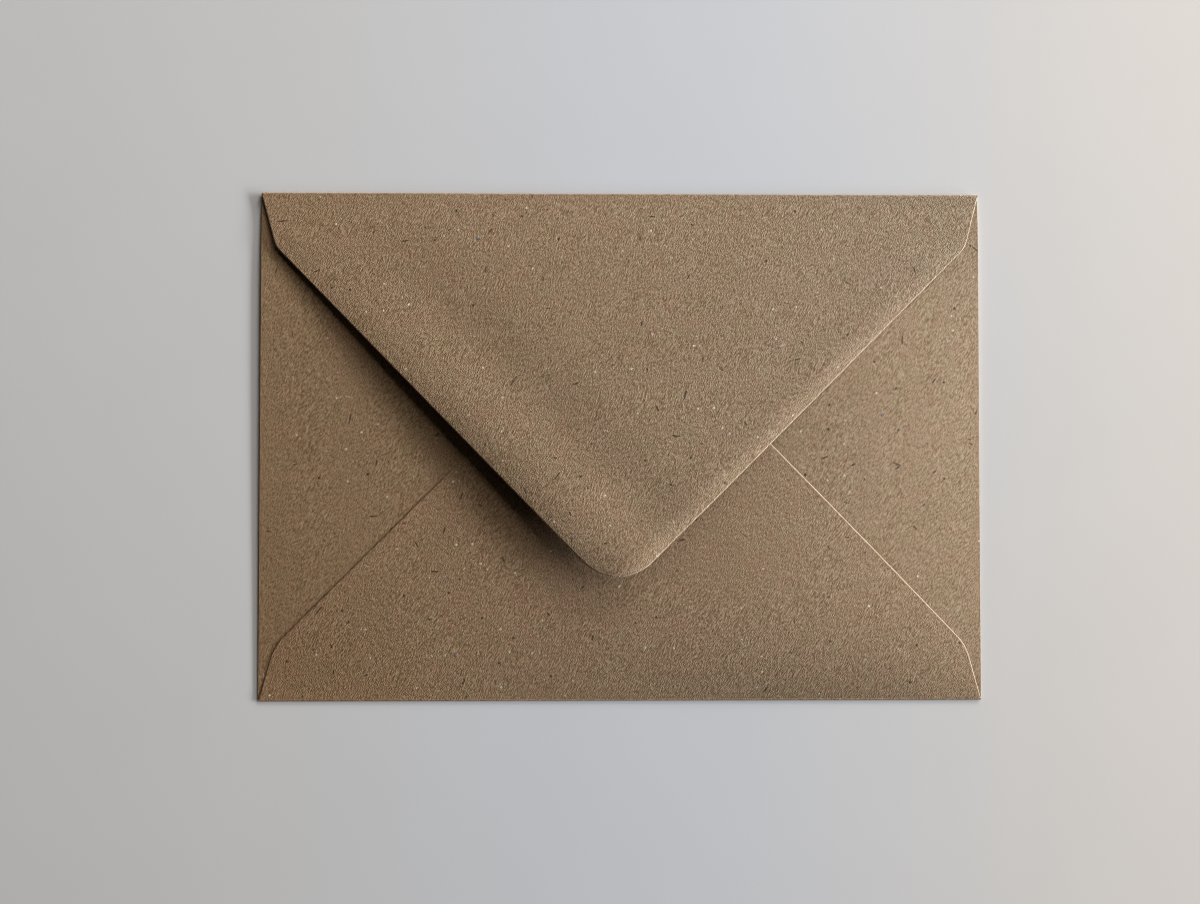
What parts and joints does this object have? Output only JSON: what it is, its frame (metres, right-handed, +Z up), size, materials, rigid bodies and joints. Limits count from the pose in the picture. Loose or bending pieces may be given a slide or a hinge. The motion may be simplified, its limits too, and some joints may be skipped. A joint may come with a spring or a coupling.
{
  "type": "envelope",
  "caption": "Kraft letter envelope lying on its address side, with a pointed, rounded-tip flap that hinges open at its fold over a glued pocket.",
  "frame": {"origin": "centre of the address side's underside, on the surface that the envelope lies on", "axes": "+X along the long side, to the right in the picture; +Y towards the top fold, where the flap hinges; +Z up, out of the flap side"},
  "size_m": [0.162, 0.114, 0.0072],
  "materials": {
    "kraft_outside": "uncoated recycled kraft with flecks",
    "kraft_fold": "uncoated recycled kraft, bent at a crease",
    "seam_glue": "dry adhesive film",
    "flap_gum": "satin gum film"
  },
  "bodies": {
    "pocket": {"front_panel": "kraft_outside", "left_side_flap": "kraft_outside", "right_side_flap": "kraft_outside", "bottom_flap": "kraft_outside", "left_side_fold": "kraft_fold", "right_side_fold": "kraft_fold", "bottom_fold": "kraft_fold", "top_fold": "kraft_fold", "left_seam_glue": "seam_glue", "right_seam_glue": "seam_glue"},
    "flap": {"top_flap": "kraft_outside", "flap_gum": "flap_gum"}
  },
  "joints": [
    {"name": "flap_hinge", "type": "hinge", "parent": "pocket", "child": "flap", "pos_m": [0, 0.0565, 0.00051], "axis": [-1, 0, 0], "range_deg": [0, 169], "deforming": ["top_fold"]}
  ]
}
